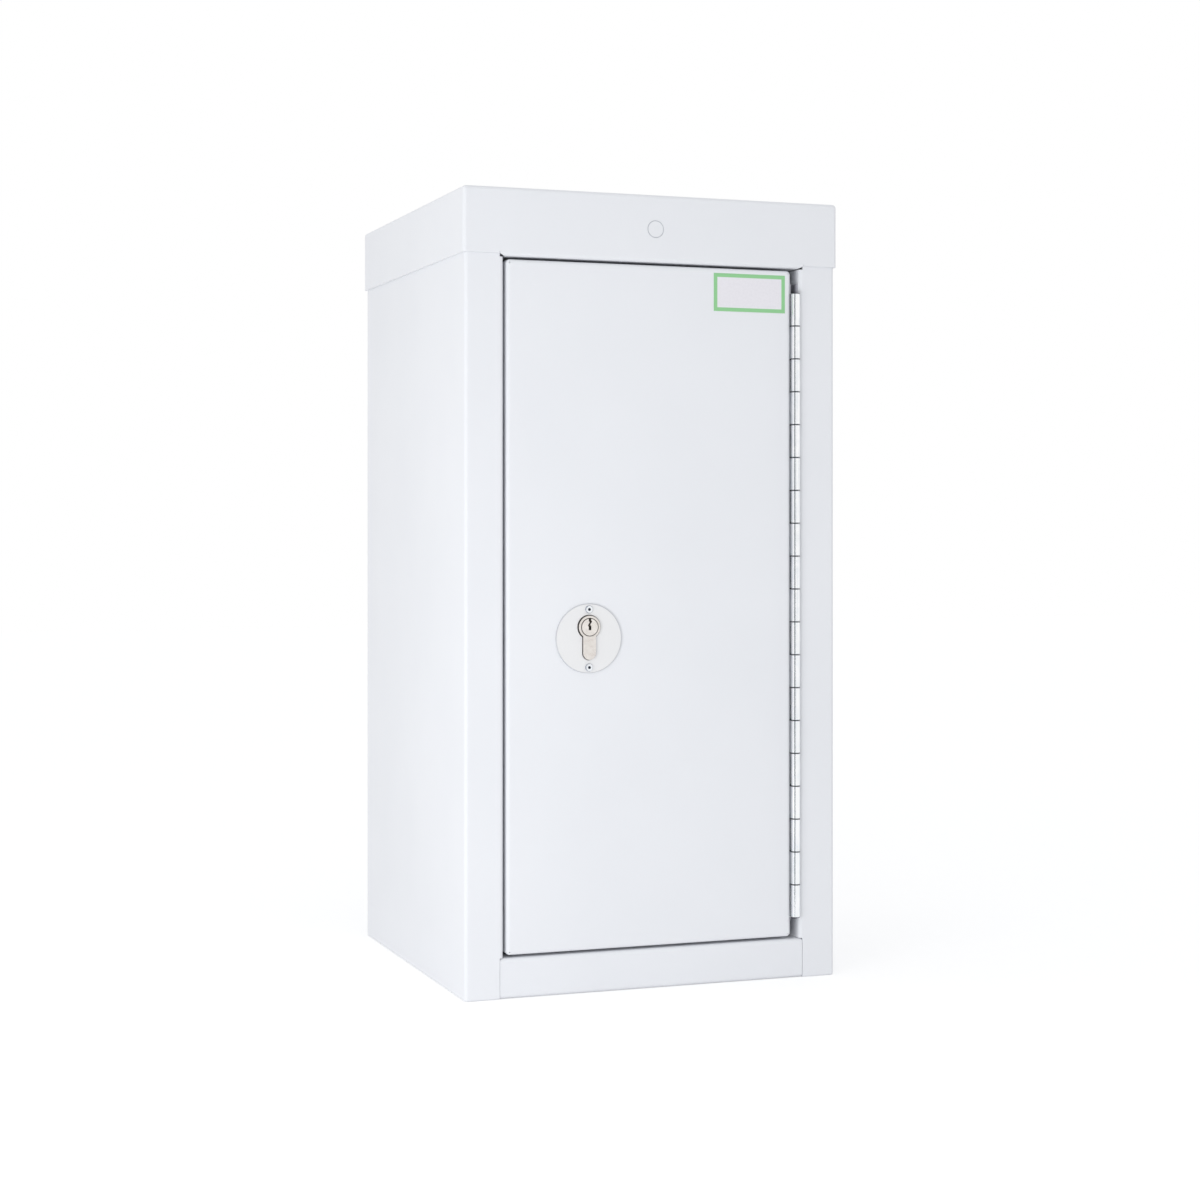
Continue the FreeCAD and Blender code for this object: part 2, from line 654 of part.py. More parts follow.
def draw_cylinder_profile(sketch, gap):
    """The lock cylinder's outline: a round head over a narrower web with a round foot."""
    radius = f"Sizes.cylinder_head / 2 + {gap}"
    web = f"Sizes.cylinder_web / 2 + {gap}"
    joint = math.degrees(math.acos(value(web) / value(radius)))
    foot = "Sizes.lock_height - Sizes.cylinder_reach + Sizes.cylinder_web / 2"
    head_arc = ("Places.lock_x", "Sizes.lock_height", radius, -joint, 2 * QUARTER_TURN + joint)
    foot_arc = ("Places.lock_x", foot, web, 2 * QUARTER_TURN, 4 * QUARTER_TURN)
    start, down, back = draw_arc_outline(sketch, [head_arc, foot_arc])
    sketch.addConstraint(Sketcher.Constraint("Coincident", start, 2, down, 1))
    sketch.addConstraint(Sketcher.Constraint("Coincident", back, 2, start, 1))
    sketch.addConstraint(Sketcher.Constraint("Vertical", down))
    sketch.addConstraint(Sketcher.Constraint("Vertical", back))


def rivet_heights():
    """Heights of the two rivets of the lock plate."""
    return [f"Places.escutcheon_z + {side} * Sizes.rivet_spacing / 2" for side in (-1, 1)]


def draw_rivets(sketch, diameter):
    for height in rivet_heights():
        draw_circle(sketch, "Places.lock_x", height, diameter)


def round_box(feature, inset, radius):
    """Round the front edges and the corners of the door pan, outside or `inset` from there."""
    front = inset
    xs = (f"Places.door_left + {inset}", f"Places.door_right - {inset}")
    zs = (f"Places.door_bottom + {inset}", f"Places.door_top - {inset}")
    return round_edges(feature, radius, {0: [(front, z) for z in zs], 1: [(x, z) for x in xs for z in zs],
                                         2: [(x, front) for x in xs]})


def make_door_outer_skin():
    """Door pan: the front with four flanges turned back."""
    body = new_body("door_outer_skin")
    face = new_sketch(body, "XZ_Plane", "0")
    draw_box(face, "Places.door_left", "Places.door_right", "Places.door_bottom", "Places.door_top")
    round_box(pad(face, "Sizes.door_depth"), "0", "Sizes.bend_radius")
    wall = "Sizes.sheet_thickness"
    inside = new_sketch(body, "XZ_Plane", wall)
    draw_box(inside, f"Places.door_left + {wall}", f"Places.door_right - {wall}",
             f"Places.door_bottom + {wall}", f"Places.door_top - {wall}")
    hollow = pocket(inside, "Sizes.door_depth + Sizes.overrun")
    round_box(hollow, wall, "Places.inner_radius")

    in_front = new_sketch(body, "XZ_Plane", "-Sizes.overrun")
    draw_cylinder_profile(in_front, "Sizes.cylinder_gap")
    draw_rivets(in_front, "Sizes.rivet_shank + 2 * Sizes.rivet_fit")
    for x in ("Places.door_left + Sizes.corner_inset", "Places.door_right - Sizes.corner_inset"):
        for z in ("Places.door_bottom + Sizes.corner_inset", "Places.door_top - Sizes.corner_inset"):
            draw_circle(in_front, x, z, "Sizes.corner_relief")
    pocket(in_front, "Sizes.bend_radius + 2 * Sizes.overrun")

    bolt_bores = new_sketch(body, "YZ_Plane", "Places.door_left - Sizes.overrun")
    for height in bolt_heights():
        draw_circle(bolt_bores, "Places.bar_middle", height, "Places.bolt_bore")
    pocket(bolt_bores, "Sizes.sheet_thickness + 2 * Sizes.overrun")


def cover_screw_places():
    """Places of the four cover screws, in the middle of the cover's flange at its corners."""
    across = "(Sizes.cover_width - Sizes.cover_flange) / 2"
    up = "(Sizes.cover_height - Sizes.cover_flange) / 2"
    return [(f"Places.lock_x + {side} * {across}", f"Places.escutcheon_z + {level} * {up}")
            for side in (-1, 1) for level in (-1, 1)]


def draw_cover_screws(sketch, diameter):
    for across, up in cover_screw_places():
        draw_circle(sketch, across, up, diameter)


def draw_cover(sketch, inset):
    """The lock cover's rectangle, `inset` from its edge."""
    across = f"(Sizes.cover_width / 2 - ({inset}))"
    up = f"(Sizes.cover_height / 2 - ({inset}))"
    draw_box(sketch, f"Places.lock_x - {across}", f"Places.lock_x + {across}",
             f"Places.escutcheon_z - {up}", f"Places.escutcheon_z + {up}")


def make_door_inner_skin():
    """Plate that closes the back of the door, with a window behind the lock."""
    body = new_body("door_inner_skin")
    inset = "Sizes.sheet_thickness + Sizes.liner_fit"
    xs = (f"Places.door_left + {inset}", f"Places.door_right - ({inset})")
    zs = (f"Places.door_bottom + {inset}", f"Places.door_top - ({inset})")
    plate = new_sketch(body, "XZ_Plane", "Places.liner_front")
    draw_box(plate, *xs, *zs)
    liner = pad(plate, "Sizes.sheet_thickness")
    round_edges(liner, "Places.inner_radius", {1: [(x, z) for x in xs for z in zs]})
    window = new_sketch(body, "XZ_Plane", "Places.liner_front - Sizes.overrun")
    draw_cover(window, "Sizes.cover_flange + Sizes.sheet_thickness")
    draw_cover_screws(window, "Sizes.cover_screw + 2 * Sizes.screw_fit")
    pocket(window, "Sizes.sheet_thickness + 2 * Sizes.overrun")


def make_hinge_leaf(label, leaf_left, notched):
    """One leaf of the hinge: a strip rolled round the pin, notched where the other leaf's knuckles are.

    The strip runs on past the last knuckles at both ends.
    """
    body = new_body(label)
    length = "Places.hinge_length"
    strip = new_sketch(body, "XY_Plane", "Places.leaf_bottom")
    draw_box(strip, leaf_left, f"{leaf_left} + Sizes.sheet_thickness", "Places.pin_y", "Sizes.leaf_reach")
    pad(strip, "Places.leaf_top - Places.leaf_bottom")
    roll = new_sketch(body, "XY_Plane", "Places.hinge_bottom")
    draw_circle(roll, "Places.pin_x", "Places.pin_y", "Sizes.knuckle_diameter")
    pad(roll, length)
    bore = new_sketch(body, "XY_Plane", "Places.hinge_bottom - Sizes.overrun")
    draw_circle(bore, "Places.pin_x", "Places.pin_y", "Sizes.pin_diameter + 2 * Sizes.pin_fit")
    pocket(bore, f"{length} + 2 * Sizes.overrun")
    radius = "Sizes.knuckle_diameter / 2"
    feet = [f"Places.hinge_bottom + {index} * Places.knuckle_pitch - Sizes.knuckle_gap / 2"
            for index in notched]
    notches = [(foot, f"{foot} + Places.knuckle_pitch + Sizes.knuckle_gap") for foot in feet]
    ends = [("Places.leaf_bottom - Sizes.overrun", "Places.hinge_bottom"),
            ("Places.hinge_top", "Places.leaf_top + Sizes.overrun")]
    for cuts in (notches, ends):
        cut = new_sketch(body, "YZ_Plane", f"Places.pin_x - {radius} - Sizes.overrun")
        for low, high in cuts:
            draw_box(cut, f"Places.pin_y - {radius} - Sizes.overrun",
                     f"Places.pin_y + {radius} + Sizes.notch_gap", low, high)
        pocket(cut, "Sizes.knuckle_diameter + 2 * Sizes.overrun")


def make_hinge_pin():
    body = new_body("hinge_pin")
    rod = new_sketch(body, "XY_Plane", "Places.hinge_bottom")
    draw_circle(rod, "Places.pin_x", "Places.pin_y", "Sizes.pin_diameter")
    pad(rod, "Places.hinge_length")


def make_lock_escutcheon():
    """Round lock plate on the door's front."""
    body = new_body("lock_escutcheon")
    disc = new_sketch(body, "XZ_Plane", "-Sizes.escutcheon_thickness")
    draw_circle(disc, "Places.lock_x", "Places.escutcheon_z", "Sizes.escutcheon_diameter")
    plate = pad(disc, "Sizes.escutcheon_thickness")
    round_rims(plate, 1, "-Sizes.escutcheon_thickness", "Sizes.escutcheon_edge")
    cuts = new_sketch(body, "XZ_Plane", "-Sizes.escutcheon_thickness - Sizes.overrun")
    draw_cylinder_profile(cuts, "Sizes.cylinder_gap")
    draw_rivets(cuts, "Sizes.rivet_shank + 2 * Sizes.rivet_fit")
    pocket(cuts, "Sizes.escutcheon_thickness + 2 * Sizes.overrun")


def make_escutcheon_rivets():
    """Blind rivets: a round head with the hole of its mandrel, a shank and the set tail."""
    body = new_body("escutcheon_rivets")
    face = "-Sizes.escutcheon_thickness - Sizes.rivet_head_height"
    heads = new_sketch(body, "XZ_Plane", face)
    draw_rivets(heads, "Sizes.rivet_head")
    domes = pad(heads, "Sizes.rivet_head_height")
    round_rims(domes, 1, face, "Sizes.rivet_dome")
    shanks = new_sketch(body, "XZ_Plane", "-Sizes.escutcheon_thickness")
    draw_rivets(shanks, "Sizes.rivet_shank")
    pad(shanks, "Sizes.escutcheon_thickness + Sizes.sheet_thickness")
    tails = new_sketch(body, "XZ_Plane", "Sizes.sheet_thickness")
    draw_rivets(tails, "Sizes.rivet_tail")
    pad(tails, "Sizes.rivet_tail_height")
    mandrels = new_sketch(body, "XZ_Plane", f"{face} - Sizes.overrun")
    draw_rivets(mandrels, "Sizes.mandrel_hole")
    pocket(mandrels, "Sizes.mandrel_depth + Sizes.overrun")


def make_cylinder_body():
    """Half cylinder of the lock, with a slot for its cam over a bridge that takes the fixing screw."""
    body = new_body("cylinder_body")
    outline = new_sketch(body, "XZ_Plane", "Places.cylinder_front")
    draw_cylinder_profile(outline, "0")
    pad(outline, "Sizes.cylinder_length")
    slot = new_sketch(body, "XZ_Plane", "Places.slot_front")
    draw_circle(slot, "Places.lock_x", "Sizes.lock_height", "2 * Sizes.cam_slot_radius")
    pocket(slot, "Sizes.cam_slot_width")
    bore = new_sketch(body, "XZ_Plane", "Places.cylinder_front - Sizes.overrun")
    draw_circle(bore, "Places.lock_x", "Sizes.lock_height", "Sizes.plug_diameter + 2 * Sizes.plug_fit")
    bored = pocket(bore, "Sizes.cam_slot_start + 2 * Sizes.overrun")
    chamfer_rims(bored, 1, "Places.cylinder_front", "Sizes.cylinder_edge")
    thread = new_sketch(body, "YZ_Plane", "Places.lock_x - Sizes.cylinder_web / 2 - Sizes.overrun")
    draw_circle(thread, "Places.screw_y", "Places.screw_z", "Sizes.screw_shank + 2 * Sizes.screw_fit")
    pocket(thread, "Sizes.cylinder_web + 2 * Sizes.overrun")


def make_cylinder_plug():
    """Plug that the key turns, with a zigzag keyway open at its top and a pivot for the cam."""
    body = new_body("cylinder_plug")
    front = "Places.cylinder_front - Sizes.plug_proud"
    barrel = new_sketch(body, "XZ_Plane", front)
    draw_circle(barrel, "Places.lock_x", "Sizes.lock_height", "Sizes.plug_diameter")
    barrel_pad = pad(barrel, "Sizes.cam_slot_start + Sizes.plug_proud")
    chamfer_rims(barrel_pad, 1, front, "Sizes.cylinder_edge")
    pivot = new_sketch(body, "XZ_Plane", "Places.slot_front")
    draw_circle(pivot, "Places.lock_x", "Sizes.lock_height", "Sizes.plug_pivot")
    pad(pivot, "Sizes.cam_slot_width - Sizes.cam_side_gap")
    keyway = new_sketch(body, "XZ_Plane", f"{front} - Sizes.overrun")
    draw_polygon(keyway, [(f"Places.lock_x + {across} * Sizes.keyway_width",
                           f"Sizes.lock_height + Sizes.keyway_rise + {up} * Sizes.keyway_height")
                          for across, up in KEYWAY_LEFT_SHARES + KEYWAY_RIGHT_SHARES])
    pocket(keyway, "Sizes.keyway_depth + Sizes.overrun")


def make_cylinder_cam():
    """Cam on the plug's pivot: a ring with one nose that leans towards the hinge at rest."""
    body = new_body("cylinder_cam")
    start = "Places.slot_front + Sizes.cam_side_gap"
    width = "Sizes.cam_slot_width - 2 * Sizes.cam_side_gap"
    sine, cosine = (f"{name}(Sizes.cam_rest_angle * 1 deg)" for name in ("sin", "cos"))
    tip = (f"Places.lock_x + Sizes.cam_nose_radius * {sine}",
           f"Sizes.lock_height + Sizes.cam_nose_radius * {cosine}")
    ring = new_sketch(body, "XZ_Plane", start)
    draw_circle(ring, "Places.lock_x", "Sizes.lock_height", "Sizes.cam_ring")
    pad(ring, width)
    half = "Sizes.cam_nose_width / 2"
    nose = new_sketch(body, "XZ_Plane", start)
    draw_polygon(nose, [(f"{x} + {side} * {half} * {cosine}", f"{z} - {side} * {half} * {sine}")
                        for x, z, side in (("Places.lock_x", "Sizes.lock_height", -1), (*tip, -1),
                                           (*tip, 1), ("Places.lock_x", "Sizes.lock_height", 1))])
    pad(nose, width)
    nose_end = new_sketch(body, "XZ_Plane", start)
    draw_circle(nose_end, *tip, "Sizes.cam_nose_width")
    pad(nose_end, width)
    bore = new_sketch(body, "XZ_Plane", f"{start} - Sizes.overrun")
    draw_circle(bore, "Places.lock_x", "Sizes.lock_height", "Sizes.plug_pivot + 2 * Sizes.plug_fit")
    pocket(bore, f"{width} + 2 * Sizes.overrun")


def stud_heights():
    """Heights of the guide studs, spread evenly over the bolt bar."""
    step = f"(Places.bar_length - 2 * Sizes.stud_inset) / {STUDS - 1}"
    return [f"Places.bar_bottom + Sizes.stud_inset + {index} * {step}" for index in range(STUDS)]


def make_bolt_bar():
    """Sliding bar with an arm over the lock, notched for the cam's nose, and slots for its guides."""
    body = new_body("bolt_bar")
    arm_top = "Places.arm_bottom + Sizes.arm_height"
    notch_left, notch_right = "Places.notch_x - Places.notch_half", "Places.notch_x + Places.notch_half"
    outline = new_sketch(body, "XZ_Plane", "Sizes.bar_front")
    draw_polygon(outline, [
        ("Places.bar_left", "Places.bar_bottom"), ("Places.bar_right", "Places.bar_bottom"),
        ("Places.bar_right", "Places.arm_bottom"), (notch_left, "Places.arm_bottom"),
        (notch_left, "Places.notch_top"), (notch_right, "Places.notch_top"),
        (notch_right, "Places.arm_bottom"), ("Places.arm_right", "Places.arm_bottom"),
        ("Places.arm_right", arm_top), ("Places.bar_right", arm_top),
        ("Places.bar_right", "Places.bar_top"), ("Places.bar_left", "Places.bar_top")])
    bar = pad(outline, "Sizes.bar_thickness")
    mouth = [(notch_left, "Places.arm_bottom"), (notch_right, "Places.arm_bottom")]
    round_edges(bar, "Sizes.bar_corner", {1: mouth})
    slots = new_sketch(body, "XZ_Plane", "Sizes.bar_front - Sizes.overrun")
    for height in stud_heights():
        draw_slot(slots, "Places.stud_x", "Places.stud_x + Places.throw", height,
                  "(Sizes.stud_neck + 2 * Sizes.stud_neck_fit)")
    pocket(slots, "Sizes.bar_thickness + 2 * Sizes.overrun")


def make_locking_bolts():
    """Round bolts, each forked over the bar's edge."""
    body = new_body("locking_bolts")
    rods = new_sketch(body, "YZ_Plane", "Places.bolt_tip")
    for height in bolt_heights():
        draw_circle(rods, "Places.bar_middle", height, "Sizes.bolt_diameter")
    round_rims(pad(rods, "Sizes.bolt_length"), 0, "Places.bolt_tip", "Sizes.bolt_nose")
    forks = new_sketch(body, "XZ_Plane", "Sizes.bar_front - Sizes.bolt_slot_fit")
    half = "(Sizes.bolt_diameter / 2 + Sizes.overrun)"
    for height in bolt_heights():
        draw_box(forks, "Places.bar_left - Sizes.bolt_slot_fit",
                 "Places.bolt_tip + Sizes.bolt_length + Sizes.overrun",
                 f"{height} - {half}", f"{height} + {half}")
    pocket(forks, "Sizes.bar_thickness + 2 * Sizes.bolt_slot_fit")


def draw_studs(sketch, diameter):
    for height in stud_heights():
        draw_circle(sketch, "Places.stud_x", height, diameter)


def make_guide_studs():
    """Shoulder studs on the door's front sheet: the bar slides on their shoulders."""
    body = new_body("guide_studs")
    shoulders = new_sketch(body, "XZ_Plane", "Sizes.sheet_thickness")
    draw_studs(shoulders, "Sizes.stud_shoulder")
    pad(shoulders, "Sizes.bar_front - Sizes.sheet_thickness - Sizes.clip_gap")
    necks = new_sketch(body, "XZ_Plane", "Sizes.bar_front - Sizes.clip_gap")
    draw_studs(necks, "Sizes.stud_neck")
    pad(necks, "Sizes.bar_thickness + 2 * Sizes.clip_gap + Sizes.clip_thickness + Sizes.stud_tip")


def make_guide_clips():
    """Retaining clips on the necks of the studs, behind the bar."""
    body = new_body("guide_clips")
    clips = new_sketch(body, "XZ_Plane", "Places.bar_back + Sizes.clip_gap")
    draw_studs(clips, "Sizes.clip_diameter")
    draw_studs(clips, "Sizes.stud_neck + 2 * Sizes.clip_fit")
    pad(clips, "Sizes.clip_thickness")


def make_cylinder_bracket():
    """Angle on the door's front sheet that the cylinder is screwed to."""
    body = new_body("cylinder_bracket")
    skin = "Sizes.sheet_thickness"
    angle = [("Places.bracket_x - Sizes.bracket_foot", skin), ("Places.bracket_x", skin),
             ("Places.bracket_x", "Places.slot_back")]
    fold_sheet(body, "XY_Plane", "Places.screw_z - Sizes.bracket_width / 2", "Sizes.bracket_width", angle)
    hole = new_sketch(body, "YZ_Plane", "Places.bracket_x - Sizes.sheet_thickness - Sizes.overrun")
    draw_circle(hole, "Places.screw_y", "Places.screw_z", "Sizes.screw_shank + 2 * Sizes.screw_fit")
    pocket(hole, "Sizes.sheet_thickness + 2 * Sizes.overrun")


def make_cylinder_screw():
    body = new_body("cylinder_screw")
    seat = "Places.bracket_x - Sizes.sheet_thickness"
    head = new_sketch(body, "YZ_Plane", f"{seat} - Sizes.screw_head_height")
    draw_circle(head, "Places.screw_y", "Places.screw_z", "Sizes.screw_head")
    pad(head, "Sizes.screw_head_height")
    shank = new_sketch(body, "YZ_Plane", seat)
    draw_circle(shank, "Places.screw_y", "Places.screw_z", "Sizes.screw_shank")
    pad(shank, "Sizes.sheet_thickness + Sizes.bracket_gap + Sizes.cylinder_web")


def make_lock_cover():
    """Raised cover over the lock's rear end, with a flat flange on the inner plate."""
    body = new_body("lock_cover")
    flange = new_sketch(body, "XZ_Plane", "Sizes.door_depth")
    draw_cover(flange, "0")
    pad(flange, "Sizes.sheet_thickness")
    dome = new_sketch(body, "XZ_Plane", "Sizes.door_depth")
    draw_cover(dome, "Sizes.cover_flange")
    raised = pad(dome, "Sizes.cover_rise")
    round_rims(raised, 1, "Places.cover_back", "Sizes.bend_radius")
    hollow = new_sketch(body, "XZ_Plane", "Sizes.door_depth - Sizes.overrun")
    draw_cover(hollow, "Sizes.cover_flange + Sizes.sheet_thickness")
    pocket(hollow, "Sizes.cover_rise - Sizes.sheet_thickness + Sizes.overrun")
    holes = new_sketch(body, "XZ_Plane", "Sizes.door_depth - Sizes.overrun")
    draw_cover_screws(holes, "Sizes.cover_screw + 2 * Sizes.screw_fit")
    pocket(holes, "Sizes.sheet_thickness + 2 * Sizes.overrun")


def make_lock_cover_screws():
    """Screws with cross recesses, through the cover's flange and the inner plate."""
    body = new_body("lock_cover_screws")
    seat = "Sizes.door_depth + Sizes.sheet_thickness"
    crown = f"{seat} + Sizes.cover_screw_head_height"
    heads = new_sketch(body, "XZ_Plane", seat)
    draw_cover_screws(heads, "Sizes.cover_screw_head")
    domes = pad(heads, "Sizes.cover_screw_head_height")
    round_rims(domes, 1, crown, "Sizes.cover_screw_dome")
    for width, height in (("Sizes.recess_length", "Sizes.recess_width"),
                          ("Sizes.recess_width", "Sizes.recess_length")):
        slots = new_sketch(body, "XZ_Plane", f"{crown} - Sizes.recess_depth")
        for across, up in cover_screw_places():
            draw_box(slots, f"{across} - {width} / 2", f"{across} + {width} / 2",
                     f"{up} - {height} / 2", f"{up} + {height} / 2")
        pocket(slots, "Sizes.recess_depth + Sizes.overrun")
    shanks = new_sketch(body, "XZ_Plane", seat)
    draw_cover_screws(shanks, "Sizes.cover_screw")
    pad(shanks, "2 * Sizes.sheet_thickness + Sizes.cover_screw_tail", forward=False)


def make_label_plate():
    """Plain label near the door's upper right corner."""
    body = new_body("label_plate")
    sheet = new_sketch(body, "XZ_Plane", "-Sizes.label_thickness")
    right, top = "Places.door_right - Sizes.label_right_gap", "Places.door_top - Sizes.label_top_gap"
    draw_box(sheet, f"{right} - Sizes.label_width", right, f"{top} - Sizes.label_height", top)
    pad(sheet, "Sizes.label_thickness")


def check_and_write():
    """Stop on any failed object, then write each piece to its own file."""
    doc.recompute()
    for item in doc.Objects:
        if {"Invalid", "Error"} & set(item.State):
            raise RuntimeError(f"{item.Name} failed: {item.State}")
        if item.TypeId == "PartDesign::Pocket" and item.Shape.Volume >= item.BaseFeature.Shape.Volume:
            raise RuntimeError(f"{item.Name} cuts nothing")
    os.makedirs("parts", exist_ok=True)
    for body in doc.findObjects("PartDesign::Body"):
        shape = body.Shape
        if shape.isNull() or not shape.isValid():
            raise RuntimeError(f"{body.Label} has no valid shape")
        shape.exportStep(f"parts/{body.Label}.step")
        print(body.Label, len(shape.Solids), round(shape.Volume / 1000, 2), shape.BoundBox)


SHELF_HEIGHTS = {"shelf_lower": "Sizes.shelf_lower_height", "shelf_upper": "Sizes.shelf_upper_height"}

make_body_wrap()
make_floor_pan()
make_top_cap()
make_ceiling_panel()
make_blanking_plug()
for shelf, shelf_height in SHELF_HEIGHTS.items():
    make_shelf(shelf, shelf_height)
make_shelf_ledges(SHELF_HEIGHTS.values())
frame_leaf_left = "Places.opening_half - Sizes.sheet_thickness"
make_hinge_leaf("hinge_frame_leaf", frame_leaf_left, range(1, KNUCKLES, 2))
make_hinge_pin()
make_door_outer_skin()
make_door_inner_skin()
make_hinge_leaf("hinge_door_leaf", "Places.door_right", range(0, KNUCKLES, 2))
make_lock_escutcheon()
make_escutcheon_rivets()
make_cylinder_body()
make_cylinder_bracket()
make_cylinder_screw()
make_guide_studs()
make_guide_clips()
make_lock_cover()
make_lock_cover_screws()
make_label_plate()
make_cylinder_plug()
make_cylinder_cam()
make_bolt_bar()
make_locking_bolts()
check_and_write()
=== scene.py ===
"""Looks of a lockable wall cabinet: coated sheet, plated metal, label, floor, light and camera.

All shapes come from the frame. Each piece gets a procedural finish, in metres and in the piece's own place.
"""
import json
import math
import bpy
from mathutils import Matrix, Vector


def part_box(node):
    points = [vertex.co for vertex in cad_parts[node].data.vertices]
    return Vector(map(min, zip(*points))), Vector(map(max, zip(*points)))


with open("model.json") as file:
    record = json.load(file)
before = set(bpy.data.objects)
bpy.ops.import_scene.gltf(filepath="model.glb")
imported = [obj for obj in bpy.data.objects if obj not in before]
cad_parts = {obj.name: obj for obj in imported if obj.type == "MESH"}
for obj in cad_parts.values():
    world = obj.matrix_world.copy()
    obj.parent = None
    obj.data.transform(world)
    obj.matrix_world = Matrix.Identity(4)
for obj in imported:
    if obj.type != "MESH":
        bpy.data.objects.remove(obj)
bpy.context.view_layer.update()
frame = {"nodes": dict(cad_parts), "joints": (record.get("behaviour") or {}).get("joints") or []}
cad_objects = frame["nodes"]

MM = 0.001
FULL = 1.0
WHITE = (1.0, 1.0, 1.0)

# Points on the axes that the door and the lock's plug turn about
joints = {joint["name"]: joint for joint in frame["joints"]}
HINGE_AXIS = Vector(joints["door_swing"]["pos_m"])
LOCK_AXIS = Vector(joints["plug_turn"]["pos_m"])

# Noise: how much fine detail it has, how harsh that is, and which middle part of its values is used
LOW_DETAIL = 1.0
PLAIN_DETAIL = 2.0
HIGH_DETAIL = 3.0
FULL_DETAIL = 4.0
PLAIN_HARSHNESS = 0.5
STREAK_HARSHNESS = 0.6
MIDDLE_SPAN = (0.35, 0.65)
WIDE_SPAN = (0.3, 0.7)

# A mask is empty at the first end of its span and full at the second
MASK_SPAN = (0.0, 1.0)


class ShaderTree:
    """Short ways to add shader nodes to a material or a world."""

    def __init__(self, owner):
        owner.use_nodes = True
        self.tree = owner.node_tree

    def add(self, kind, *inputs, **settings):
        """Add a node with its settings, and feed its first inputs in order."""
        node = self.tree.nodes.new(kind)
        for name, setting in settings.items():
            setattr(node, name, setting)
        for socket, content in zip(node.inputs, inputs):
            self.feed(socket, content)
        return node

    def feed(self, socket, content):
        """Link an input to a node's output, or set its value."""
        if isinstance(content, bpy.types.NodeSocket):
            self.tree.links.new(content, socket)
        elif socket.type == "RGBA":
            socket.default_value = (*content, FULL)
        elif content is not None:
            socket.default_value = content

    def feed_named(self, node, contents):
        """Feed the inputs of a node by their names."""
        for name, content in contents.items():
            self.feed(node.inputs[name], content)

    def math(self, operation, first, second=None):
        """A calculation with one or two numbers."""
        return self.add("ShaderNodeMath", first, second, operation=operation).outputs[0]

    def vector(self, operation, first, second):
        """A calculation with two vectors."""
        return self.add("ShaderNodeVectorMath", first, second, operation=operation).outputs[0]

    def spread(self, factor, span, target=MASK_SPAN, smooth=False):
        """Spread the values of one span over a target span."""
        node = self.add("ShaderNodeMapRange", factor, *span, *target)
        node.interpolation_type = "SMOOTHSTEP" if smooth else "LINEAR"
        return node.outputs[0]

    def mix(self, factor, first, second):
        """Go from the first colour to the second."""
        node = self.add("ShaderNodeMix", data_type="RGBA")
        self.feed(node.inputs["Factor"], factor)
        colours = [socket for socket in node.inputs if socket.type == "RGBA"]
        for socket, content in zip(colours, (first, second)):
            self.feed(socket, content)
        return [socket for socket in node.outputs if socket.type == "RGBA"][0]

    def seen_rays(self):
        """One for rays from the camera, a reflection or a refraction, and zero for soft light."""
        path = self.add("ShaderNodeLightPath").outputs
        mirrored = self.math("MAXIMUM", path["Is Glossy Ray"], path["Is Transmission Ray"])
        return self.math("MAXIMUM", path["Is Camera Ray"], mirrored)


class Material(ShaderTree):
    """A procedural material in the object's own coordinates."""

    def __init__(self, name, metal=False):
        self.material = bpy.data.materials.new(name)
        super().__init__(self.material)
        self.shader = self.tree.nodes["Principled BSDF"]
        self.shader.inputs["Metallic"].default_value = float(metal)
        self.place = self.add("ShaderNodeTexCoord").outputs["Object"]
        self.colour = None

    def noise(self, grain, detail=PLAIN_DETAIL, harshness=PLAIN_HARSHNESS, place=None):
        """Noise whose grains have a given size, or a size along each axis."""
        sizes = grain if isinstance(grain, tuple) else (grain, grain, grain)
        node = self.add("ShaderNodeTexNoise")
        self.feed_named(node, {"Vector": self.vector("DIVIDE", place or self.place, sizes), "Scale": FULL,
                               "Detail": detail, "Roughness": harshness})
        return node.outputs["Fac"]

    def blend(self, first, second, second_share):
        """A sum of two noises in given shares."""
        return self.math("ADD", self.math("MULTIPLY", first, FULL - second_share),
                         self.math("MULTIPLY", second, second_share))

    def offset(self, origin, axes):
        """Coordinates from a point, along the axes named."""
        moved = self.vector("SUBTRACT", self.place, tuple(origin))
        coordinates = self.add("ShaderNodeSeparateXYZ", moved).outputs
        return [coordinates[axis] for axis in axes]

    def distance(self, across, up):
        """Distance from an axis, from the two coordinates square to it."""
        squares = [self.math("MULTIPLY", side, side) for side in (across, up)]
        return self.math("SQRT", self.math("ADD", *squares))

    def around(self, across, up, along):
        """Distance from an axis, angle about it and place along it, as one vector."""
        angle = self.math("ARCTAN2", up, across)
        return self.add("ShaderNodeCombineXYZ", self.distance(across, up), angle, along).outputs[0]

    def bump(self, height, depth, base=None):
        """Relief of a given depth, on a base that may have its own."""
        node = self.add("ShaderNodeBump")
        self.feed_named(node, {"Strength": FULL, "Distance": depth, "Height": height, "Normal": base})
        return node.outputs["Normal"]

    def finish(self, colour, roughness, normal):
        """Join colour, roughness and relief to the shader."""
        self.colour = colour
        self.feed_named(self.shader, {"Base Color": colour, "Roughness": roughness, "Normal": normal})

    def paint(self, mask, shade):
        """Lay a shade over the colour where a mask is full."""
        self.colour = self.mix(mask, self.colour, shade)
        self.feed(self.shader.inputs["Base Color"], self.colour)


def middle_and_half(box):
    """The middle of a box, and half its size along each axis."""
    low, high = box
    return (low + high) / 2, (high - low) / 2


